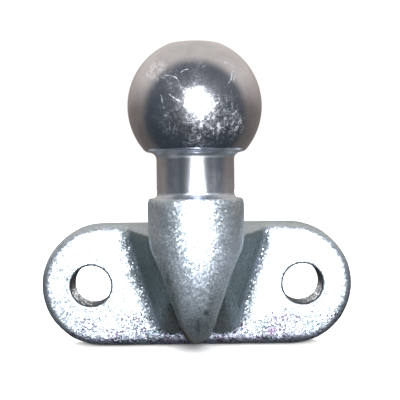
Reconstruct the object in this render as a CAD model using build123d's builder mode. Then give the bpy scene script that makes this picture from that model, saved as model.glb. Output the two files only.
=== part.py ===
from build123d import *
import os
from math import asin, cos, degrees, pi, radians, sin, sqrt, tan

# A 50 mm tow ball on a two-hole flange, forged in steel as one piece, then turned and drilled.
# X runs along the flange, Y from the ball towards the vehicle, Z up to the ball. Millimetres.
# The origin is midway between the bolt holes, on the flange's flat back face.

# Turned ball, neck and shoulder
ball_diameter = 50.0
ball_flat_diameter = 20.0
ball_lip_width = 4.0
neck_diameter = 29.0
neck_blend = 3.0
shoulder_width = 3.5
shoulder_blend = 2.0
shoulder_chamfer = 1.0

# How far the ball stands off the flange
ball_above_shoulder = 34.0
shoulder_above_flange = 11.0
ball_reach = 56.0

# Flange and its two bolt holes
hole_spacing = 90.0
hole_diameter = 17.0
hole_chamfer = 0.9
hole_to_flange_end = 22.0
flange_height = 53.0
flange_thickness = 16.0
flange_draft = 3.0
flange_front_edge = 4.0
flange_back_chamfer = 0.8

# Gusset: the wedge between flange and stem, with flat flanks that lean in towards the foot
gusset_root_width = 62.0
gusset_root_lift = 8.0
gusset_nose_ahead = 2.0
gusset_nose_inset = 2.6
gusset_nose_lift = 26.5
gusset_lean = 18.5
gusset_corner = 7.0
gusset_fillet = 4.5

# Nose: the stem's round front, which curves back and tapers to the foot of the flange
nose_tip_radius = 5.5
nose_tip_lift = 4.0
nose_tip_run = 9.0
nose_links = 5
nose_link_inset = 0.15

# Sizes that follow from those above
ball_radius = ball_diameter / 2
flat_radius = ball_flat_diameter / 2
neck_radius = neck_diameter / 2
lip_radius = neck_radius + ball_lip_width
stem_radius = neck_radius + shoulder_width
flange_top = flange_height / 2
flange_width = hole_spacing + 2 * hole_to_flange_end
shoulder_z = flange_top + shoulder_above_flange
ball_z = shoulder_z + ball_above_shoulder
lip_z = ball_z - sqrt(ball_radius**2 - lip_radius**2)
flat_z = ball_z + sqrt(ball_radius**2 - flat_radius**2)
gusset_depth = ball_reach + gusset_nose_ahead
gusset_root_half = gusset_root_width / 2
gusset_nose_half = stem_radius - gusset_nose_inset


def top_at(depth):
    """Height of the forging's upper face at a depth in front of the back face: it falls with the draft."""
    return flange_top - depth * tan(radians(flange_draft))


def nose_ball(share):
    """Centre and radius of the ball that fills the nose at a share of its belly, from stem (0) to tip (1)."""
    angle = share * pi / 2
    radius = stem_radius - (stem_radius - nose_tip_radius) * sin(angle)
    belly_depth = ball_reach + stem_radius - flange_thickness - nose_tip_run
    belly_drop = top_at(ball_reach) + flange_top - nose_tip_lift
    belly = Vector(
        0,
        -flange_thickness - nose_tip_run - belly_depth * cos(angle),
        top_at(ball_reach) - belly_drop * sin(angle),
    )
    inward = Vector(0, belly_drop * cos(angle), belly_depth * sin(angle)).normalized()
    return belly + inward * radius, radius


with BuildPart() as gusset:
    # Its side view, as wide as the root
    with BuildSketch(Plane.YZ):
        with BuildLine():
            Polyline(
                (-flange_thickness, top_at(flange_thickness)),
                (-gusset_depth, top_at(gusset_depth)),
                (-gusset_depth, gusset_nose_lift - flange_top),
                (-flange_thickness, gusset_root_lift - flange_top),
                close=True,
            )
        make_face()
    extrude(amount=gusset_root_half, both=True)

    # Each flank is a plane through the upper corner of the root and that of the nose
    for side in (-1, 1):
        root_corner = Vector(side * gusset_root_half, -flange_thickness, top_at(flange_thickness))
        nose_corner = Vector(side * gusset_nose_half, -gusset_depth, top_at(gusset_depth))
        up_flank = Vector(side * tan(radians(gusset_lean)), 0, 1)
        outward = up_flank.cross(nose_corner - root_corner) * side
        split(bisect_by=Plane(root_corner, z_dir=outward), keep=Keep.BOTTOM)

    # Flanks and underside meet in a round edge
    long_edges = gusset.edges().filter_by_position(
        Axis.Y, -gusset_depth, -flange_thickness, inclusive=(False, False)
    )
    fillet(long_edges.group_by(Axis.Z)[0], gusset_corner)

with BuildPart() as foot:
    # Flange: a full-round plate with draft on its edge
    with BuildSketch(Plane.XZ):
        SlotOverall(flange_width, flange_height)
    extrude(amount=flange_thickness, taper=flange_draft)
    add(gusset.part)

    # The gusset's five root edges run into the flange in a hollow fillet
    front_edges = foot.edges().filter_by_position(Axis.Y, -flange_thickness, -flange_thickness)
    fillet(front_edges.sort_by_distance((0, -flange_thickness, 0))[:5], gusset_fillet)

    # One rounding goes round the flange's ends and foot and along the top of the gusset
    front_edges = foot.edges().filter_by_position(Axis.Y, -flange_thickness, -flange_thickness)
    upper_edges = foot.faces().sort_by(Axis.Z)[-1].edges()
    upper_edges = upper_edges.filter_by_position(Axis.Y, -gusset_depth, 0, inclusive=(False, False))
    fillet(front_edges.sort_by(SortBy.LENGTH)[-3:] + upper_edges, flange_front_edge)

with BuildPart() as post:
    # Nose: balls that shrink along the belly curve, each pair joined by the cone that touches both.
    # A link starts a little inside the ball before it, so that it comes out of it at a clear angle.
    for link in range(nose_links):
        start, ball_before = nose_ball(link / nose_links)
        end, end_radius = nose_ball((link + 1) / nose_links)
        start_radius = ball_before - nose_link_inset
        along = end - start
        taper = degrees(asin((start_radius - end_radius) / along.length))
        with BuildSketch(Plane(start, x_dir=along, z_dir=(1, 0, 0))):
            with BuildLine():
                start_arc = CenterArc((0, 0), start_radius, 90 - taper, 90 + taper)
                end_arc = CenterArc((along.length, 0), end_radius, 0, 90 - taper)
                Line(start_arc @ 0, end_arc @ 1)
                Line(start_arc @ 1, end_arc @ 0)
            make_face()
        revolve(axis=Axis(start, along))

    # The tip runs on, round and level, into the flange
    tip, tip_radius = nose_ball(1)
    with BuildSketch(Plane(tip, x_dir=(1, 0, 0), z_dir=(0, 1, 0))):
        Circle(tip_radius - nose_link_inset)
    extrude(amount=nose_tip_run + flange_thickness / 2)

    # Round-ended stem, shoulder, neck and ball in one profile, with a hollow blend at each end of the neck
    stem_end_z = top_at(ball_reach) - stem_radius
    with BuildSketch(Plane.XZ.offset(ball_reach)):
        with BuildLine():
            Polyline((flat_radius, flat_z), (0, flat_z), (0, stem_end_z))
            JernArc((0, stem_end_z), (1, 0), stem_radius, 90)
            Polyline(
                (stem_radius, top_at(ball_reach)),
                (stem_radius, shoulder_z - shoulder_chamfer),
                (stem_radius - shoulder_chamfer, shoulder_z),
                (neck_radius + shoulder_blend, shoulder_z),
            )
            Bezier(
                (neck_radius + shoulder_blend, shoulder_z),
                (neck_radius, shoulder_z),
                (neck_radius, shoulder_z + shoulder_blend),
            )
            Line((neck_radius, shoulder_z + shoulder_blend), (neck_radius, lip_z - neck_blend))
            Bezier((neck_radius, lip_z - neck_blend), (neck_radius, lip_z), (neck_radius + neck_blend, lip_z))
            Line((neck_radius + neck_blend, lip_z), (lip_radius, lip_z))
            ThreePointArc((lip_radius, lip_z), (ball_radius, ball_z), (flat_radius, flat_z))
        make_face()
    revolve(axis=Axis((0, -ball_reach, 0), (0, 0, 1)))

with BuildPart() as tow_ball:
    add(foot.part)
    add(post.part)

    # Two bolt holes, chamfered in front
    with Locations(Plane.XZ):
        with GridLocations(hole_spacing, 0, 2, 1):
            Hole(hole_diameter / 2)
    hole_rims = tow_ball.edges(Select.LAST).filter_by(GeomType.CIRCLE)
    chamfer(hole_rims.group_by(Axis.Y)[0], hole_chamfer)

    # The sharp edge round the flat back is broken
    back_face = tow_ball.faces().sort_by(Axis.Y)[-1]
    chamfer(back_face.outer_wire().edges(), flange_back_chamfer)

os.makedirs("parts", exist_ok=True)
tow_ball.part.label = "tow_ball"
export_step(tow_ball.part, "parts/tow_ball.step")
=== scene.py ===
# %% [markdown]
# # A zinc-plated tow ball
# The real part is one steel forging. A press squeezes a hot bar into the flange, the wedge behind the
# stem and a rough ball. A lathe then cuts the ball and the neck, a drill makes two bolt holes, and a
# zinc bath gives the bright grey skin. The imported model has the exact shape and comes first, because
# everything below is fitted to it.

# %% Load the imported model
import math

import bmesh
import bpy
import numpy as np
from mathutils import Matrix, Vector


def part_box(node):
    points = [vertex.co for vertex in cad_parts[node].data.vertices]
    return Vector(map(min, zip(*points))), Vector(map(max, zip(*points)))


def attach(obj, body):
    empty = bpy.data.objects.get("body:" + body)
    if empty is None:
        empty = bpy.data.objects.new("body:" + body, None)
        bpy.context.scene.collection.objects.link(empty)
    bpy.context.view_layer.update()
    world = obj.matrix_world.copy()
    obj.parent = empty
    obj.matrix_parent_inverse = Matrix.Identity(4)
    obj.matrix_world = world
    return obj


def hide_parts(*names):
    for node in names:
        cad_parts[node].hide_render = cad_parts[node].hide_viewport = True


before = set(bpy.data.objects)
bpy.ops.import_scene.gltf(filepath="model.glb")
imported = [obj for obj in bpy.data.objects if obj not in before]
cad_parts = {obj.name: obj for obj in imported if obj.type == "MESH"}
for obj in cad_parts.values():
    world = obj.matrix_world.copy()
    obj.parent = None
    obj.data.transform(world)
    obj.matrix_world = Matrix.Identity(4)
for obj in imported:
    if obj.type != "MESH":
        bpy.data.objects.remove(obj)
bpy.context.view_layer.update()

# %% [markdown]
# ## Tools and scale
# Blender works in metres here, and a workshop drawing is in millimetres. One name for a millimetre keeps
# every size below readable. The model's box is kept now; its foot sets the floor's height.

MM = 0.001
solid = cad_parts["tow_ball"]
low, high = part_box("tow_ball")
print("packed solid:", len(solid.data.polygons), "triangles, from", low, "to", high)

# %% [markdown]
# ## A finer skin for the forging
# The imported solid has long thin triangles, good for measuring but too coarse to carry the soft, slightly
# uneven surface of a forging. Sculpting would do it by hand. A voxel remesh does it evenly: it wraps the
# solid in small square faces, and a shrinkwrap then lays each corner back on the true surface.

# %% Remesh the forging
GRID = 0.66 * MM


def bake(piece):
    """Replace a piece's mesh by what its modifiers make of it."""
    graph = bpy.context.evaluated_depsgraph_get()
    mesh = bpy.data.meshes.new_from_object(piece.evaluated_get(graph))
    piece.modifiers.clear()
    piece.data = mesh


part = bpy.data.objects.new("tow_ball_dressed", solid.data.copy())
bpy.context.scene.collection.objects.link(part)
remesh = part.modifiers.new("even grid", "REMESH")
remesh.mode = "VOXEL"
remesh.voxel_size = GRID
bake(part)
wrap = part.modifiers.new("back to the solid", "SHRINKWRAP")
wrap.target = solid
bake(part)
print("even grid:", len(part.data.polygons), "faces")

# %% [markdown]
# ## Wedge and post
# The forging is a round post, the stem and its nose, with a wedge behind it that runs into the flange. Much
# below needs to know how far a corner is from the post. The post is a row of balls that shrink from the
# stem down to the nose's tip, so the distance is that to the nearest ball, or to the stem's cylinder.

# %% Distance from the post
AXIS_Y = -56 * MM
STEM_RADIUS = 18.0
TIP_RADIUS = 5.5
TIP_Y = -25.0
TIP_Z = -17.0
BELLY_DEPTH = 49.0
BELLY_DROP = 46.07
NOSE_BALLS = 41
FAR = 99.0


def nose_ball(share):
    """Centre and radius of the ball that fills the nose at a share of its curve, from stem (0) to tip (1)."""
    angle = share * math.pi / 2
    radius = STEM_RADIUS - (STEM_RADIUS - TIP_RADIUS) * math.sin(angle)
    inward = np.array([0, BELLY_DROP * math.cos(angle), BELLY_DEPTH * math.sin(angle)])
    belly_z = TIP_Z - TIP_RADIUS + BELLY_DROP * (1 - math.sin(angle))
    belly = np.array([0, TIP_Y - BELLY_DEPTH * math.cos(angle), belly_z])
    return belly + inward / np.linalg.norm(inward) * radius, radius


def from_post(x, y, z):
    """Distance of each corner from the post, in millimetres."""
    stem_foot = nose_ball(0)[0][2]
    gap = np.where(z > stem_foot, np.hypot(x, y - AXIS_Y / MM) - STEM_RADIUS, FAR)
    gap = np.minimum(gap, np.where(y > TIP_Y, np.hypot(x, z - TIP_Z) - TIP_RADIUS, FAR))
    for share in np.linspace(0, 1, NOSE_BALLS):
        centre, radius = nose_ball(share)
        gap = np.minimum(gap, np.sqrt(x**2 + (y - centre[1]) ** 2 + (z - centre[2]) ** 2) - radius)
    return gap


print("nose: radius", nose_ball(0)[1], "to", nose_ball(1)[1], "mm")

# %% [markdown]
# ## A rounder nose
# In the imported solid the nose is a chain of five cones, each touching the next, and a low lamp would show
# their joints as bands. A forging has no such bands. Every corner that lies inside the row of balls is
# pushed out to it, by less than a millimetre, which turns the chain into one smooth curve.

# %% Round the nose
DEEPEST = 1.2
FINE_BALLS = 161
NOSE_TOP = 30.0
NOSE_BACK = 20.0


def corners(piece):
    """All vertex positions of a piece, one row each."""
    place = np.empty(len(piece.data.vertices) * 3)
    piece.data.vertices.foreach_get("co", place)
    return place.reshape(-1, 3)


def ramp(value, start, end):
    """Smooth step from 0 at start to 1 at end."""
    share = np.clip((value - start) / (end - start), 0, 1)
    return share * share * (3 - 2 * share)


place = corners(part)
near = np.flatnonzero((place[:, 2] < NOSE_TOP * MM) & (place[:, 1] < -NOSE_BACK * MM))
gap = np.full(len(near), FAR)
outward = np.zeros((len(near), 3))
for share in np.linspace(0, 1, FINE_BALLS):
    centre, radius = nose_ball(share)
    away = place[near] / MM - centre
    reach = np.linalg.norm(away, axis=1)
    closer = reach - radius < gap
    gap[closer] = (reach - radius)[closer]
    outward[closer] = away[closer] / reach[closer, None]
fade = ramp(-place[near, 1] / MM, NOSE_BACK, NOSE_BACK + 4)
push = np.where(gap > -DEEPEST, np.clip(-gap, 0, None), 0) * fade
place[near] += outward * push[:, None] * MM
print("nose rounded by at most", round(float(push.max()), 2), "mm")

# %% [markdown]
# ## The wedge's foot
# On the real forging the wedge runs down almost to the flange's lower edge and fades out beside the nose. The
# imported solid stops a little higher, in a clean rounded foot. The corners of the foot are drawn down here, as
# a sculptor's grab brush would, and those on the post and on the flange stay where they are.

# %% Draw the wedge's foot down
FOOT_DROP = 3.6
FLANGE_FACE = 16.0
x, y, z = place.T / MM
off_flange = ramp(-y, FLANGE_FACE, FLANGE_FACE + 5)
drop = FOOT_DROP * ramp(-z, 0, 17) * off_flange * ramp(from_post(x, y, z), 0, 2.5)
place[:, 2] -= drop * MM
part.data.vertices.foreach_set("co", place.ravel())
part.data.update()
print("wedge's foot drawn down:", int((drop > 1).sum()), "corners by more than 1 mm")

# %% [markdown]
# ## Soft edges, crisp holes
# Hot steel never fills a die's sharp corners, so every edge and crease of the forging is soft. The holes
# and the flat back were cut cold, and theirs are crisp. One Smooth modifier can do both when a vertex
# group tells it how strongly each corner may move: fully on the forged skin, hardly at all near a cut.

# %% Weigh and smooth
HOLE_X = 45 * MM
HOLE_RADIUS = 8.5 * MM
STEM_FADE = 25.5 * MM
STEM_CUT = 31.5 * MM
WEIGHT_STEPS = 50
EDGE_ROUNDS = 14


def add_weights(piece, name, weights):
    """Store one weight per vertex in a vertex group, in even steps."""
    group = piece.vertex_groups.new(name=name)
    steps = np.round(weights * WEIGHT_STEPS).astype(int)
    for step in range(1, WEIGHT_STEPS + 1):
        group.add(np.flatnonzero(steps == step).tolist(), step / WEIGHT_STEPS, "REPLACE")


def forged_share(place):
    """1 on the forged skin, 0 on the drilled holes, the flat back and the turned end of the stem."""
    from_hole = np.hypot(np.abs(place[:, 0]) - HOLE_X, place[:, 2])
    off_hole = ramp(from_hole, HOLE_RADIUS + 0.6 * MM, HOLE_RADIUS + 2 * MM)
    off_back = ramp(-place[:, 1], 0.2 * MM, 1.5 * MM)
    return off_hole * off_back * (1 - ramp(place[:, 2], STEM_FADE, STEM_CUT))


def smooth(name, group, rounds):
    """Smooth the part for so many rounds, as strongly as a vertex group says."""
    soften = part.modifiers.new(name, "SMOOTH")
    soften.factor = 0.5
    soften.iterations = rounds
    soften.vertex_group = group
    bake(part)


add_weights(part, "forged", forged_share(corners(part)))
smooth("soft edges", "forged", EDGE_ROUNDS)
print("softened:", len(part.data.vertices), "corners")

# %% [markdown]
# ## A wide hollow at the wedge's root
# Where the wedge runs into the flange the die has a wide hollow radius, so that the hot steel can flow round
# it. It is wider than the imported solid's. More rounds of the same smoothing fill the crease, and only there:
# the weight falls off with the distance from the line in which flank and flange meet.

# %% Widen the hollow
ROOT_HALF = 31.0
ROOT_TOP = 25.66
FLANK_LEAN = math.tan(math.radians(18.5))
ROOT_ROUNDS = 120

x, y, z = corners(part).T / MM
beyond = np.abs(x) - ROOT_HALF + (ROOT_TOP - z) * FLANK_LEAN
ahead = -y - FLANGE_FACE
near_crease = 1 - ramp(np.maximum(beyond, ahead), 5, 9)
root = near_crease * ramp(ahead, -0.6, -0.2) * ramp(from_post(x, y, z), 1, 4)
root *= ramp(z, -21, -15) * (1 - ramp(z, 18, 22))
part.vertex_groups.clear()
add_weights(part, "root", root)
smooth("wide hollow", "root", ROOT_ROUNDS)
print("hollow widened:", int((root > 0.5).sum()), "corners")

# %% [markdown]
# ## The uneven skin
# Scale flakes off the hot steel and shot-blasting follows, so the skin is gently lumpy, like orange peel
# seen from close by. Two Displace modifiers with cloud textures give that: broad, shallow hollows and a
# smaller dimple. Both push inwards only, so that the part keeps its outer size.

# %% Lumps and dimples
def press_clouds(name, size, depth):
    """Press a cloud pattern into the forged skin: size across one hollow, depth at its deepest."""
    clouds = bpy.data.textures.new(name, "CLOUDS")
    clouds.noise_scale = size
    clouds.noise_depth = 1
    press = part.modifiers.new(name, "DISPLACE")
    press.texture = clouds
    press.texture_coords = "LOCAL"
    press.mid_level = 1.0
    press.strength = depth
    press.vertex_group = "forged"


part.vertex_groups.clear()
add_weights(part, "forged", forged_share(corners(part)))
press_clouds("broad hollows", 9 * MM, 0.30 * MM)
press_clouds("small dimples", 2.4 * MM, 0.05 * MM)
bake(part)
print("lowest and highest corner:", corners(part).min(0), corners(part).max(0))

# %% [markdown]
# ## The turned ball
# The ball, its flat top, the neck and the shoulder were cut in one setting on a lathe. A lathe turns a
# profile about an axis, and so does Blender's spin. A sphere primitive would miss the lip, the hollow
# under it and the flat on top. The profile is a list of radius and height, with soft corners, and the lip's
# underside falls a little towards the neck. The ball is a hair under its 25 mm radius, because the packed
# solid's own facets lie that far inside the true ball.

# %% The lathe profile
BALL_Z = 71.5
BALL_RADIUS = 24.994
FLAT_RADIUS = 10.0
NECK_RADIUS = 14.5
LIP_RADIUS = 18.5
LIP_FALL = 0.7
SHOULDER_Z = 37.5
JOIN_Z = 34.4
LIP_TRIM = 0.05
FLAT_TRIM = 0.03
ARC_POINTS = 96
CORNER_POINTS = 7


def on_ball(radius, side):
    """Height where the ball has this radius, above (1) or below (-1) its middle."""
    return BALL_Z + side * math.sqrt(BALL_RADIUS**2 - radius**2)


def soft_corner(before, corner, after, reach, reach_after=None):
    """Points of a curve that leaves one side of a corner and joins the other, reach away from it."""
    before, corner, after = (np.array(p, float) for p in (before, corner, after))
    start = corner + reach * (before - corner) / np.linalg.norm(before - corner)
    end = corner + (reach_after or reach) * (after - corner) / np.linalg.norm(after - corner)
    t = np.linspace(0, 1, CORNER_POINTS)[:, None]
    return (1 - t) ** 2 * start + 2 * t * (1 - t) * corner + t**2 * end


lip_z = on_ball(LIP_RADIUS, -1)
flat_z = on_ball(FLAT_RADIUS, 1)
sweep = np.linspace(
    math.asin((lip_z - BALL_Z) / BALL_RADIUS) + LIP_TRIM,
    math.asin((flat_z - BALL_Z) / BALL_RADIUS) - FLAT_TRIM,
    ARC_POINTS,
)
ball_arc = np.column_stack([BALL_RADIUS * np.cos(sweep), BALL_Z + BALL_RADIUS * np.sin(sweep)])
# Each corner: radius, height, and how far its soft curve reaches before and after it
path = [
    (STEM_RADIUS, JOIN_Z, 0),
    (STEM_RADIUS, SHOULDER_Z, 2.9, 1.4),
    (NECK_RADIUS, SHOULDER_Z, 1.9),
    (NECK_RADIUS, lip_z - LIP_FALL, 2.4, 2.6),
    (LIP_RADIUS, lip_z, 1.0),
    (*ball_arc[0], 0),
]
profile = [np.array([path[0][:2]])]
for before, corner, after in zip(path, path[1:], path[2:]):
    profile.append(soft_corner(before[:2], corner[:2], after[:2], *corner[2:]))
profile.append(ball_arc)
profile.append(soft_corner(ball_arc[-1], (FLAT_RADIUS, flat_z), (0, flat_z), 0.6))
profile.append(np.array([[6.0, flat_z], [3.0, flat_z], [0.0, flat_z]]))
profile = np.vstack(profile)
print("lathe profile:", len(profile), "points")

# %% [markdown]
# ## One skin
# The real part has no seam between stem and shoulder, so the mesh has none either. The remeshed forging
# is cut off level below the shoulder, its rim is laid on an exact circle, and a bridge of faces joins it
# to the lathe's lowest ring. Material 0 is the forged skin with its bores, material 1 the turned one.

# %% Cut, spin and bridge
STEPS = 192
RIM_Z = (JOIN_Z - 0.8) * MM
TOUCHING = 0.01 * MM
work = bmesh.new()
work.from_mesh(part.data)
cut = bmesh.ops.bisect_plane(
    work,
    geom=work.verts[:] + work.edges[:] + work.faces[:],
    plane_co=(0, 0, RIM_Z),
    plane_no=(0, 0, 1),
    clear_outer=True,
)
rim = [e for e in cut["geom_cut"] if isinstance(e, bmesh.types.BMEdge)]
for corner in {v for edge in rim for v in edge.verts}:
    angle = math.atan2(corner.co.y - AXIS_Y, corner.co.x)
    corner.co.x = STEM_RADIUS * MM * math.cos(angle)
    corner.co.y = STEM_RADIUS * MM * math.sin(angle) + AXIS_Y

turned = [work.verts.new((r * MM, AXIS_Y, z * MM)) for r, z in profile]
lines = [work.edges.new(pair) for pair in zip(turned, turned[1:])]
bmesh.ops.spin(
    work,
    geom=turned + lines,
    cent=(0, AXIS_Y, 0),
    axis=(0, 0, 1),
    angle=2 * math.pi,
    steps=STEPS,
    use_merge=True,
)
lathed = [v for v in work.verts if v.co.z > (JOIN_Z - 0.1) * MM]
bmesh.ops.remove_doubles(work, verts=lathed, dist=TOUCHING)
ring = [
    e
    for e in work.edges
    if e.is_boundary and all(abs(v.co.z - JOIN_Z * MM) < TOUCHING for v in e.verts)
]
bmesh.ops.bridge_loops(work, edges=rim + ring)
bmesh.ops.recalc_face_normals(work, faces=work.faces[:])
for face in work.faces:
    face.smooth = True
    face.material_index = int(face.calc_center_median().z > (SHOULDER_Z - 0.5) * MM)
open_edges = sum(e.is_boundary for e in work.edges)
part.data.materials.clear()
work.to_mesh(part.data)
work.free()
print("one skin:", len(part.data.polygons), "faces,", open_edges, "open edges")

# %% [markdown]
# ## Where dirt, wear and painted shade sit
# Grime and painted shade stay in the creases, rust and a painted shadow under the nose's tip, and the coupling
# dulls the ball in patches. They could be painted by hand. Here each vertex gets a few numbers instead, and the
# materials read them. The first number is how hollow the skin is: in a crease, a vertex's neighbours lie out in
# front of it.

# %% Find the creases
CREASE_ROUNDS = 6
place = corners(part)
normals = np.empty(place.size)
part.data.vertex_normals.foreach_get("vector", normals)
normals = normals.reshape(-1, 3)
edges = np.empty(len(part.data.edges) * 2, int)
part.data.edges.foreach_get("vertices", edges)
one, other = edges[0::2], edges[1::2]
links = np.bincount(edges, minlength=len(place))


def neighbour_mean(values):
    """The mean of a value over each vertex's neighbours."""
    total = np.bincount(one, values[other], len(place)) + np.bincount(other, values[one], len(place))
    return total / links


def store(name, values):
    """Keep one number per vertex for the materials."""
    layer = part.data.attributes.new(name, "FLOAT", "POINT")
    layer.data.foreach_set("value", values.astype(np.float32))
    print(name, "mean", round(float(values.mean()), 3), "highest", round(float(values.max()), 3))


pull = np.column_stack([neighbour_mean(place[:, axis]) for axis in range(3)]) - place
hollowness = (pull * normals).sum(1) / GRID**2
for _ in range(CREASE_ROUNDS):
    hollowness = neighbour_mean(hollowness)
crease = ramp(hollowness, 40, 220) * (place[:, 2] < (JOIN_Z - 2) * MM)
print("creases:", int((crease > 0.5).sum()), "corners")

# %% [markdown]
# ## Grime, rust, pits and painted shade
# Grime and painted shade lie in the creases and at the post's foot; grime also marks the die's parting line on
# the nose, and a small dark spot sits near it. Rust gathers under the nose's tip, where water hangs, and a
# painted shadow darkens the tip's underside with it. The wedge is painted a darker grey, partly a duller zinc
# and partly painted shade, and the nose's sides take that grey by degrees as painted shade, more on the left
# and towards the tip. The flange's face is pitted, more and more towards its foot, and its lower rim and
# roundings are tinted lilac by the bath and painted darker as shade. The bores are painted dark as shade, most
# of all on their upper and outer sides.

# %% Store grime, rust, pits and painted shade
DARK_SPOT = (3.3, -4.5)
x, y, z = place.T / MM
sideways, forward = normals[:, 0], -normals[:, 1]
off_post = from_post(x, y, z)
wedge = ramp(off_post, 0.4, 1.6) * ramp(-y, 16, 17)
# Painted shade on the wedge, partly a duller zinc tone: weaker on upward faces, towards the foot and on the
# right.
wedge_dull_and_shade = wedge * (0.5 + 0.5 * ramp(-y, 17.5, 21.5) - 0.42 * ramp(-z, 2, 17))
wedge_dull_and_shade *= (1 - ramp(normals[:, 2], 0.45, 0.65)) * np.where(x > 0, 0.86, 1)
hollow_root = ramp(-y, 15.9, 16.6) * (1 - ramp(-y, 21, 30))
hollow_root *= ramp(off_post, 1, 4) * ramp(1 - forward, 0.02, 0.15)
flat_back = 1 - ramp(-y, 0.1, 0.6)
store("coarse_grain", 1 + 2.2 * hollow_root - 0.5 * flat_back)
on_post = ramp(-y, 22, 25) * (1 - wedge)
# Painted shade on the nose's sides, by the way they face: more on the left, a strip and the grazing edge on the
# right, darker towards the tip.
left = 0.8 * ramp(-sideways, 0.40, 0.80)
right = 0.45 * ramp(sideways, 0.25, 0.40) - 0.2 * ramp(sideways, 0.50, 0.66)
right += 0.5 * ramp(sideways, 0.84, 0.95)
tip = 0.42 * (1 - ramp(z, -14, 4))
shade = np.maximum(tip, (left + right) * (1 - ramp(z, 6, 24)))
store("shade", np.maximum(wedge_dull_and_shade, shade * on_post))

# Grime and painted shade: creases and the post's foot are darkened as shade in hollows; the parting line and a
# small dark spot are dark marks on the nose.
parting = (1 - ramp(np.abs(x - 0.3), 0.0, 0.9)) * ramp(-z, 5.5, 8) * (1 - ramp(-z, 12, 15))
dark_spot = 1 - ramp(np.hypot(x - DARK_SPOT[0], z - DARK_SPOT[1]), 0.4, 1.8)
foot_of_post = (1 - ramp(off_post, 0.8, 2.5)) * wedge
grime_and_shade = np.maximum(0.45 * crease, np.maximum(0.8 * parting, dark_spot) * on_post)
store("grime_and_shade", np.maximum(grime_and_shade, 0.35 * foot_of_post * ramp(z, -14, -2)))
# Rust and painted shadow: a dark brown band on the downward-facing skin under the nose's tip.
store("rust_and_shadow", (1 - ramp(forward, 0.26, 0.42)) * ramp(-z, 9, 15) * (1 - ramp(x, 2, 6)) * on_post)

on_flange = ramp(-y, 8, 14) * (1 - ramp(-y, 18, 21)) * (1 - wedge)
from_edge = np.hypot(np.maximum(np.abs(x) - 40.5, 0), z)
# The flange's roundings and lower rim get a lilac bath tint and painted shade, stronger where they turn from
# the front.
shaded_rounding = (1 - ramp(np.abs(forward), 0.55, 0.97)) * ramp(-z, -18, 4) * ramp(from_edge, 20, 22)
store("pits", on_flange * ramp(-z, 6, 24))
store("rim", on_flange * np.maximum(shaded_rounding, ramp(-z, 16, 24)))
# Painted shade inside the bores, darkest on their upper and outer sides.
out, up = (np.abs(x) - HOLE_X / MM) / (HOLE_RADIUS / MM), z / (HOLE_RADIUS / MM)
in_hole = (1 - ramp(np.hypot(out, up), 1.02, 1.06)) * ramp(-y, 0.3, 1.5)
store("bore_shade", in_hole * (0.8 + 0.2 * ramp(0.8 * out + 0.6 * up, -0.2, 0.5)))
store("blasted", on_post * ramp(z, -14, -2) * (1 - ramp(z, 12, 24)))

# %% [markdown]
# ## Where the turned skin is dull
# A mirror is dark where it reflects a dark room. Where the coupling has rubbed it dull it scatters the
# light and looks lighter. The neck was cut less finely than the ball, and the two hollow blends are coarse;
# their colour is also painted a darker teal grey as shade.
# On the ball, rubbed patches are listed by place and size: across and up are shares of the radius.

# %% Store the dull bands and the rubbed patches
BLENDS = ((37.3, 39.6), (51.6, 55.2))
coarse = np.zeros(len(place))
for foot, top in BLENDS:
    coarse += ramp(z, foot, foot + 0.8) * (1 - ramp(z, top - 0.6, top))
neck = (0.05 + 0.36 * ramp(np.abs(sideways), 0.3, 0.5)) * (1 - ramp(z, 53, 56))
store("coarse", coarse)
store("dull", neck + 0.55 * coarse)
on_unit = (place - np.array([0, AXIS_Y, BALL_Z * MM])) / (BALL_RADIUS * MM)


def on_front(across, up):
    """Point on the ball's front, as a share of its radius to the right and upwards."""
    return np.array([across, -math.sqrt(1 - across**2 - up**2), up])


RUBBED = [
    (0.58, -0.34, 0.20, 0.95),
    (0.46, -0.08, 0.22, 0.42),
    (0.26, -0.38, 0.24, 0.42),
    (-0.02, -0.50, 0.24, 0.40),
    (-0.57, 0.45, 0.17, 1.40),
    (-0.36, 0.42, 0.22, 0.50),
    (-0.30, -0.10, 0.20, 0.28),
    (-0.48, -0.36, 0.24, 0.22),
    (0.04, 0.36, 0.22, 0.26),
]
rubbed = np.full(len(place), 0.12)
for across, up, size, strength in RUBBED:
    gap = np.linalg.norm(on_unit - on_front(across, up), axis=1)
    rubbed += strength * np.exp(-((gap / size) ** 2))
store("rubbed", np.clip(rubbed, 0, 1) * ramp(z, 54, 57))

# %% [markdown]
# ## Short calls for nodes
# A procedural material is a network of nodes, and writing each node out would fill pages. One helper adds a
# node with its settings, one joins an output to an input or types a value into it, and the rest are the few
# kinds of node that the two finishes use again and again.

# %% Node helpers
# Sockets of a colour Mix node: the two colours and the result
MIX_UNDER, MIX_OVER, MIX_COLOUR = 6, 7, 2


def add(tree, kind, **settings):
    """Add a shader node and set its options."""
    made = tree.nodes.new("ShaderNode" + kind)
    for option, value in settings.items():
        setattr(made, option, value)
    return made


def feed(tree, target, **sources):
    """Join outputs to named inputs, or type plain values into them; an underscore stands for a space."""
    for name, source in sources.items():
        socket = target.inputs[name.replace("_", " ")]
        if isinstance(source, bpy.types.NodeSocket):
            tree.links.new(source, socket)
        else:
            socket.default_value = source
    return target


def noise(tree, vector, scale, detail=2.0, distortion=0.0):
    """A noise pattern of so many waves per metre."""
    made = add(tree, "TexNoise")
    feed(tree, made, Vector=vector, Scale=scale, Detail=detail, Distortion=distortion)
    return made.outputs["Fac"]


def spread(tree, value, low, high, to_low=0.0, to_high=1.0):
    """Stretch the range low to high of a value over another range."""
    made = add(tree, "MapRange")
    feed(tree, made, Value=value, From_Min=low, From_Max=high, To_Min=to_low, To_Max=to_high)
    return made.outputs["Result"]


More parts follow.
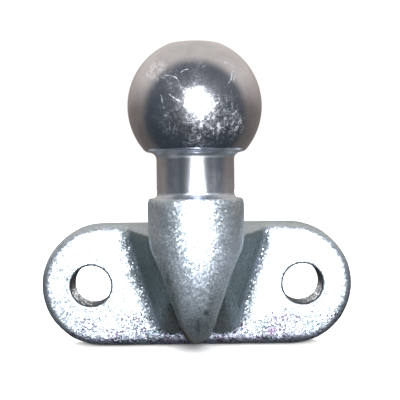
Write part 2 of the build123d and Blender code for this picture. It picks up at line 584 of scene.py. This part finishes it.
def calculate(tree, operation, *values):
    """One Math node on outputs or plain numbers."""
    made = add(tree, "Math", operation=operation)
    for socket, value in zip(made.inputs, values):
        if isinstance(value, bpy.types.NodeSocket):
            tree.links.new(value, socket)
        else:
            socket.default_value = value
    return made.outputs["Value"]


def combine(tree, operation, *vectors):
    """One Vector Math node on outputs or plain vectors."""
    made = add(tree, "VectorMath", operation=operation)
    for socket, vector in zip(made.inputs, vectors):
        if isinstance(vector, bpy.types.NodeSocket):
            tree.links.new(vector, socket)
        else:
            socket.default_value = vector
    return made.outputs["Value" if operation == "DOT_PRODUCT" else "Vector"]


def dot(tree, first, second):
    """Dot product of two vectors."""
    return combine(tree, "DOT_PRODUCT", first, second)


def read(tree, name):
    """The number stored for each vertex under a name."""
    return add(tree, "Attribute", attribute_name=name).outputs["Fac"]


def blend(tree, share, under, over):
    """Lay one plain colour over another colour by a share."""
    made = add(tree, "Mix", data_type="RGBA")
    feed(tree, made, Factor=share)
    tree.links.new(under, made.inputs[MIX_UNDER])
    made.inputs[MIX_OVER].default_value = (*over, 1)
    return made.outputs[MIX_COLOUR]


def tint(tree, value, *stops):
    """Colours along a value: pairs of position and colour."""
    made = add(tree, "ValToRGB")
    feed(tree, made, Fac=value)
    elements = made.color_ramp.elements
    while len(elements) < len(stops):
        elements.new(0.5)
    for element, (position, colour) in zip(elements, stops):
        element.position = position
        element.color = (*colour, 1)
    return made.outputs["Color"]


def new_material(name):
    """An empty material with its shader: the node tree and the shader."""
    material = bpy.data.materials.new(name)
    material.use_nodes = True
    part.data.materials.append(material)
    return material.node_tree, material.node_tree.nodes["Principled BSDF"]


# %% [markdown]
# ## Forged zinc
# Zinc over a blasted forging is grey, grainy and full of small flashes: each grain is a tiny mirror that
# leans its own way. A plain rough metal would give an even sheen. A Voronoi pattern gives every grain a
# random colour, and that colour, read as a direction, tips the surface there by a few degrees.

# %% The forged skin's grain
GRAIN_LEAN = 0.30
GRAIN_SCALE = 1600.0
tree, shader = new_material("forged_zinc")
where = add(tree, "TexCoord").outputs["Object"]
cells = feed(tree, add(tree, "TexVoronoi"), Vector=where, Scale=GRAIN_SCALE)
lean = combine(tree, "MULTIPLY_ADD", cells.outputs["Color"], [GRAIN_LEAN] * 3, [-GRAIN_LEAN / 2] * 3)
lean = combine(tree, "MULTIPLY", lean, read(tree, "coarse_grain"))
tipped = combine(tree, "ADD", add(tree, "NewGeometry").outputs["Normal"], lean)
pits = read(tree, "pits")
clumps = spread(tree, noise(tree, where, 110.0, 2.0), 0.3, 0.7, -0.12, 0.10)
specks = calculate(tree, "ADD", clumps, noise(tree, where, 950.0, 4.0))
specks = calculate(tree, "MULTIPLY_ADD", pits, 0.17, specks)
pitted = calculate(tree, "MULTIPLY", spread(tree, specks, 0.60, 0.70), spread(tree, pits, 0.05, 0.4))
pit_bump = feed(tree, add(tree, "Bump", invert=True), Strength=0.8, Distance=0.12 * MM)
feed(tree, pit_bump, Height=pitted, Normal=combine(tree, "NORMALIZE", tipped))
peel = noise(tree, where, 700.0, 3.0)
peel_bump = feed(tree, add(tree, "Bump"), Strength=1.0, Distance=0.06 * MM)
feed(tree, peel_bump, Height=peel, Normal=pit_bump.outputs["Normal"])
feed(tree, shader, Metallic=1.0, Normal=peel_bump.outputs["Normal"])

# %% [markdown]
# ## Colour of the forged skin
# Zinc is bluish where it is clean, a little lilac where the bath tinted it and greener where grime and painted
# shade darken it. Layers of Mix nodes put the wedge's dull tone and painted shade, the rim's tint and painted
# shade, the pits, the grime and painted crease shade, the rust and painted shadow, and the bores' painted shade
# on one another, each by the number that was stored for it.

# %% The forged skin's colour
DARK_GRAIN = (0.26, 0.34, 0.40)
DULL_AND_SHADE_GREY = (0.19, 0.235, 0.235)
RIM_LILAC_AND_SHADE = (0.30, 0.30, 0.42)
PIT_GREY = (0.10, 0.15, 0.16)
PIT_LILAC = (0.17, 0.13, 0.20)
GRIME_AND_SHADE = (0.07, 0.09, 0.085)
RUST_AND_SHADOW = (0.11, 0.05, 0.035)
BORE_SHADE = (0.05, 0.045, 0.07)
EDGE_TINT = (0.55, 0.58, 0.60, 1.0)
patches = noise(tree, where, 55.0, 4.0, 0.4)
zinc = tint(tree, patches, (0.3, (0.58, 0.66, 0.71)), (0.5, (0.64, 0.72, 0.79)), (0.7, (0.66, 0.72, 0.83)))
grains = spread(tree, noise(tree, where, 1300.0, 2.0), 0.40, 0.62, 0.0, 0.4)
zinc = blend(tree, grains, zinc, DARK_GRAIN)
# The wedge's grey is partly a duller zinc tone and partly painted shade, as on the nose's sides.
dull_and_shade = calculate(tree, "MULTIPLY_ADD", noise(tree, where, 1100.0, 2.0), 1.4, read(tree, "shade"))
colour = blend(tree, spread(tree, dull_and_shade, 0.9, 1.6), zinc, DULL_AND_SHADE_GREY)
# Lilac bath tint with painted shade on the flange's rim and roundings.
colour = blend(tree, calculate(tree, "MULTIPLY", read(tree, "rim"), 0.7), colour, RIM_LILAC_AND_SHADE)
bath = spread(tree, noise(tree, where, 160.0, 2.0), 0.42, 0.58)
colour = blend(tree, calculate(tree, "MULTIPLY", pitted, 0.85), colour, PIT_GREY)
colour = blend(tree, calculate(tree, "MULTIPLY", pitted, bath), colour, PIT_LILAC)
# Grime and painted crease shade darken the colour.
colour = blend(tree, calculate(tree, "MULTIPLY", read(tree, "grime_and_shade"), 0.75), colour, GRIME_AND_SHADE)
# Rust with a painted shadow under the nose's tip.
flaky_rust_and_shadow = calculate(tree, "MULTIPLY_ADD", noise(tree, where, 600.0, 3.0), 0.8, read(tree, "rust_and_shadow"))
colour = blend(tree, spread(tree, flaky_rust_and_shadow, 0.7, 1.2, 0.0, 0.85), colour, RUST_AND_SHADOW)
# Painted shade in the bores.
colour = blend(tree, read(tree, "bore_shade"), colour, BORE_SHADE)
rough = spread(tree, patches, 0.3, 0.7, 0.41, 0.48)
rough = calculate(tree, "MULTIPLY_ADD", read(tree, "blasted"), 0.07, rough)
feed(tree, shader, Base_Color=colour, Roughness=rough, Specular_Tint=EDGE_TINT)
print("forged zinc:", len(tree.nodes), "nodes")

# %% [markdown]
# ## A scratch
# A scratch on a ball is a piece of a circle: all its points are at one angle from a pole. One node group
# works out how near a point of the ball is to such an arc, and each scratch is one copy of it with its own
# pole, angle and ends. A painted image would need unwrapping and would blur.

# %% The scratch group
def scratch_group():
    """Node group: 1 on an arc of the ball about a pole, 0 away from it."""
    group = bpy.data.node_groups.new("scratch", "ShaderNodeTree")
    kinds = {"Point": "Vector", "Pole": "Vector", "Angle": "Float", "Along": "Vector", "Middle": "Float"}
    kinds.update({"Reach": "Float", "Facing": "Vector", "Width": "Float"})
    for name, kind in kinds.items():
        group.interface.new_socket(name, in_out="INPUT", socket_type="NodeSocket" + kind)
    group.interface.new_socket("Mark", in_out="OUTPUT", socket_type="NodeSocketFloat")
    given = group.nodes.new("NodeGroupInput").outputs
    result = group.nodes.new("NodeGroupOutput")
    from_pole = calculate(group, "ARCCOSINE", dot(group, given["Point"], given["Pole"]))
    across = calculate(group, "SUBTRACT", from_pole, given["Angle"])
    across = calculate(group, "DIVIDE", calculate(group, "ABSOLUTE", across), given["Width"])
    along = calculate(group, "SUBTRACT", dot(group, given["Point"], given["Along"]), given["Middle"])
    along = calculate(group, "DIVIDE", calculate(group, "ABSOLUTE", along), given["Reach"])
    line = calculate(group, "MULTIPLY", spread(group, across, 1.0, 0.4), spread(group, along, 1.0, 0.7))
    front = calculate(group, "GREATER_THAN", dot(group, given["Point"], given["Facing"]), 0.0)
    group.links.new(calculate(group, "MULTIPLY", line, front), result.inputs["Mark"])
    return group


def scratch(tree, group, point, start, middle, end, width):
    """One scratch through three points of the unit ball."""
    pole = np.cross(middle - start, end - start)
    pole /= np.linalg.norm(pole)
    reach = np.linalg.norm(end - start) / 2
    along = (end - start) / (2 * reach)
    made = add(tree, "Group", node_tree=group)
    feed(tree, made, Point=point, Pole=pole, Angle=math.acos(pole @ start), Width=width)
    feed(tree, made, Along=along, Middle=along @ (start + end) / 2, Reach=reach)
    feed(tree, made, Facing=middle - pole * (pole @ start))
    return made.outputs["Mark"]


# %% [markdown]
# ## Turned zinc
# The ball and the neck are nearly mirrors. What shows that they are metal and not chrome plastic is their
# wear: fine rings from the lathe, a dust of tiny dull specks, smudges and scratches. All of them change
# the roughness, so they glow where the lamp is near and vanish where it is dark.

# %% The turned skin's wear
WOBBLE = 0.09
tree, shader = new_material("turned_zinc")
where = add(tree, "TexCoord").outputs["Object"]
unit = add(tree, "Mapping", vector_type="TEXTURE")
feed(tree, unit, Vector=where, Location=(0, AXIS_Y, BALL_Z * MM), Scale=[BALL_RADIUS * MM] * 3)
wobble = add(tree, "TexNoise")
feed(tree, wobble, Vector=unit.outputs["Vector"], Scale=6.0, Detail=3.0)
shift = combine(tree, "MULTIPLY_ADD", wobble.outputs["Color"], [WOBBLE] * 3, [-WOBBLE / 2] * 3)
point = combine(tree, "NORMALIZE", combine(tree, "ADD", unit.outputs["Vector"], shift))
SCRATCHES = [
    ((0.40, 0.52), (0.48, 0.53), (0.56, 0.47)),
    ((0.55, 0.49), (0.57, 0.36), (0.50, 0.20)),
    ((0.54, 0.46), (0.53, 0.34), (0.46, 0.20)),
    ((-0.22, 0.37), (-0.16, 0.41), (-0.07, 0.42)),
    ((-0.52, 0.40), (-0.47, 0.44), (-0.40, 0.44)),
    ((-0.45, 0.34), (-0.29, 0.32), (-0.20, 0.23)),
    ((-0.48, 0.10), (-0.44, -0.01), (-0.41, -0.13)),
    ((-0.39, 0.13), (-0.27, 0.02), (-0.17, -0.07)),
    ((0.19, -0.16), (0.28, -0.07), (0.39, -0.04)),
    ((0.42, -0.30), (0.46, -0.27), (0.50, -0.26)),
    ((0.50, -0.37), (0.54, -0.33), (0.56, -0.28)),
    ((0.56, -0.43), (0.58, -0.37), (0.62, -0.35)),
    ((0.60, -0.30), (0.63, -0.26), (0.64, -0.20)),
    ((0.64, -0.45), (0.68, -0.40), (0.69, -0.35)),
    ((0.50, -0.20), (0.55, -0.18), (0.58, -0.13)),
]
# The first three strokes make one broad hook
HOOK = 3
HOOK_WIDTH = 0.019
SCRATCH_WIDTH = 0.012
group = scratch_group()
marks = 0.0
for number, strokes in enumerate(SCRATCHES):
    start, middle, end = (on_front(*stroke) for stroke in strokes)
    width = HOOK_WIDTH if number < HOOK else SCRATCH_WIDTH
    mark = scratch(tree, group, point, start, middle, end, width)
    marks = calculate(tree, "MAXIMUM", mark, marks)
print("scratches:", len(SCRATCHES))

# %% [markdown]
# ## Smudges, dust and rings
# Grease and rubbing blur a mirror in patches, and the cutting tool leaves rings too fine to count. Patches
# are noise at three sizes, weighed by the dull bands and the rubbed places stored above. The rings are noise
# that is squeezed along the axis. Where rubbing is strongest the zinc has turned chalky. A thin coat adds
# the faint lilac haze that a zinc bath leaves around highlights.

# %% The turned skin's roughness and colour
CHALK = (0.95, 0.97, 1.0)
BLEND_SHADE_GREY = (0.30, 0.36, 0.35)
stretch = add(tree, "Mapping")
feed(tree, stretch, Vector=where, Scale=(20.0, 20.0, 2600.0))
rings = noise(tree, stretch.outputs["Vector"], 1.0, 3.0)
smudge = noise(tree, where, 140.0, 6.0, 0.8)
broken = spread(tree, noise(tree, where, 500.0, 2.0), 0.3, 0.55, 0.1, 0.56)
marks = calculate(tree, "MULTIPLY", marks, broken)
dust = noise(tree, where, 900.0, 5.0, 0.9)
swirl = calculate(tree, "ABSOLUTE", calculate(tree, "SUBTRACT", noise(tree, where, 210.0, 3.0, 1.6), 0.5))
strands = calculate(tree, "MULTIPLY", spread(tree, swirl, 0.03, 0.0), spread(tree, smudge, 0.45, 0.6))
rubbed = read(tree, "rubbed")
patchy = calculate(tree, "MULTIPLY", rubbed, spread(tree, dust, 0.36, 0.66, 0.1, 1.1))
worn = calculate(tree, "ADD", read(tree, "dull"), patchy)
worn = calculate(tree, "MULTIPLY_ADD", strands, calculate(tree, "MULTIPLY_ADD", rubbed, 0.8, 0.2), worn)
smear = spread(tree, rubbed, 0.0, 0.1, 0.1, 0.5)
smeared = calculate(tree, "MULTIPLY", calculate(tree, "SUBTRACT", smudge, 0.5), smear)
worn = calculate(tree, "ADD", smeared, worn)
rough = calculate(tree, "MAXIMUM", spread(tree, worn, 0.0, 1.0, 0.11, 0.48), marks)
ring_bump = feed(tree, add(tree, "Bump"), Strength=0.3, Distance=0.006 * MM, Height=rings)
dust_bump = feed(tree, add(tree, "Bump"), Strength=0.5, Distance=0.006 * MM, Height=dust)
feed(tree, dust_bump, Normal=ring_bump.outputs["Normal"])
bright = tint(tree, smudge, (0.35, (0.60, 0.64, 0.68)), (0.65, (0.70, 0.73, 0.77)))
chalk = calculate(tree, "MULTIPLY", spread(tree, rubbed, 0.7, 1.0), spread(tree, dust, 0.42, 0.58))
bright = blend(tree, chalk, bright, CHALK)
# Painted shade: the two hollow blends get a darker teal grey.
blend_shade = calculate(tree, "MULTIPLY", read(tree, "coarse"), spread(tree, smudge, 0.3, 0.6, 0.8, 0.3))
feed(
    tree,
    shader,
    Base_Color=blend(tree, blend_shade, bright, BLEND_SHADE_GREY),
    Metallic=1.0,
    Roughness=rough,
    Normal=dust_bump.outputs["Normal"],
    Coat_Weight=0.8,
    Coat_Roughness=0.38,
    Coat_Tint=(0.94, 0.93, 1.0, 1.0),
)
print("turned zinc:", len(tree.nodes), "nodes")

# %% [markdown]
# ## Hand the part over
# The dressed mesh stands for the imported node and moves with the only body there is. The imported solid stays
# for collisions and is hidden from the camera.

# %% Ride and replace
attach(part, "root")
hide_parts("tow_ball")
print(part.name, "replaces tow_ball")

# %% [markdown]
# ## Floor
# A pale floor, level with the flange's foot, carries the part's soft shadow. Metal would mirror such a floor
# and lose its contrast, so mirrored rays pass it by, as if the part stood on dark cloth.

# %% Floor
bpy.ops.mesh.primitive_plane_add(size=40, location=(0, 0, low.z))
floor = bpy.context.object
floor.name = "floor"
floor.visible_glossy = False
paper = bpy.data.materials.new("pale_floor")
paper.use_nodes = True
feed(paper.node_tree, paper.node_tree.nodes["Principled BSDF"], Base_Color=(0.9, 0.9, 0.89, 1), Roughness=1.0)
floor.data.materials.append(paper)
print("floor at", round(low.z / MM, 1), "mm")

# %% [markdown]
# ## Light
# A round soft light sits just above the lens, and a low panel behind the part lights the flange's back. The
# panel's beam is narrow and leans to the floor, so that no edge seen from the front mirrors it. What makes a
# mirror look like a mirror is the room in it: dark in front of the part and pale behind it, so the ball has a
# dark middle and a pale rim. Only mirrored rays see that room. The floor and the eye see white.

# %% Light
def add_light(name, kind, place, energy, **settings):
    """A light at a place, with its own settings."""
    data = bpy.data.lights.new(name, kind)
    data.energy = energy
    for option, value in settings.items():
        setattr(data, option, value)
    lamp = bpy.data.objects.new(name, data)
    lamp.location = place
    lamp.visible_camera = False
    bpy.context.scene.collection.objects.link(lamp)
    return lamp


key = add_light("key", "AREA", (28 * MM, -372 * MM, 82 * MM), 3.8, shape="DISK", size=0.135)
key.rotation_euler = (math.radians(84), 0, math.radians(4))
back = add_light("back", "AREA", (0, 450 * MM, 0), 0.28, shape="RECTANGLE", size=0.18, size_y=0.05)
back.data.color = (1.0, 0.97, 0.93)
back.data.spread = math.radians(50)
back.rotation_euler = (math.radians(-70), 0, 0)
overhead = add_light("overhead", "SUN", (0, 0, 0.5), 4.2, angle=math.radians(80))
overhead.visible_glossy = False

world = bpy.data.worlds.new("studio")
world.use_nodes = True
bpy.context.scene.world = world
tree = world.node_tree
tree.nodes.clear()
way = add(tree, "SeparateXYZ")
feed(tree, way, Vector=add(tree, "TexCoord").outputs["Generated"])
height = spread(tree, way.outputs["Z"], -1.0, 1.0)
front = tint(
    tree,
    height,
    (0.2, (0.042, 0.052, 0.062)),
    (0.5, (0.074, 0.088, 0.106)),
    (0.8, (0.138, 0.148, 0.168)),
)
rear = tint(
    tree,
    height,
    (0.3, (0.15, 0.13, 0.115)),
    (0.52, (0.25, 0.21, 0.185)),
    (0.75, (0.77, 0.69, 0.60)),
)
above = calculate(tree, "MULTIPLY", way.outputs["Z"], 0.25)
tilt = calculate(tree, "MINIMUM", above, calculate(tree, "MULTIPLY", way.outputs["Z"], 0.55))
behind = calculate(tree, "ADD", way.outputs["Y"], tilt)
room = feed(tree, add(tree, "Mix", data_type="RGBA"), Factor=spread(tree, behind, -0.12, 0.18))
tree.links.new(front, room.inputs[MIX_UNDER])
tree.links.new(rear, room.inputs[MIX_OVER])
mirrored = feed(tree, add(tree, "Background"), Color=room.outputs[MIX_COLOUR])
seen = feed(tree, add(tree, "Background"), Color=(1, 1, 1, 1), Strength=1.05)
pick = add(tree, "MixShader")
tree.links.new(add(tree, "LightPath").outputs["Is Glossy Ray"], pick.inputs[0])
tree.links.new(seen.outputs[0], pick.inputs[1])
tree.links.new(mirrored.outputs[0], pick.inputs[2])
tree.links.new(pick.outputs[0], add(tree, "OutputWorld").inputs["Surface"])
bpy.context.scene.view_settings.view_transform = "Standard"
print("lights:", key.name, back.name, overhead.name)

# %% [markdown]
# ## Camera
# The camera stands a little above the middle of the part and looks level at it, from near by. A shift of the
# lens, not a tilt, frames the part, so that the stem's sides stay upright, as an object photographer does it.

# %% Camera
camera = bpy.data.objects.new("camera", bpy.data.cameras.new("camera"))
bpy.context.scene.collection.objects.link(camera)
camera.location = (0, -352 * MM, 41.4 * MM)
camera.rotation_euler = (math.radians(90), math.radians(0.7), 0)
camera.data.lens = 71.4
camera.data.shift_x = 0.011
camera.data.shift_y = -0.032
bpy.context.scene.camera = camera
print("camera:", camera.data.lens, "mm lens,", round(-camera.location.y / MM), "mm in front of the back face")
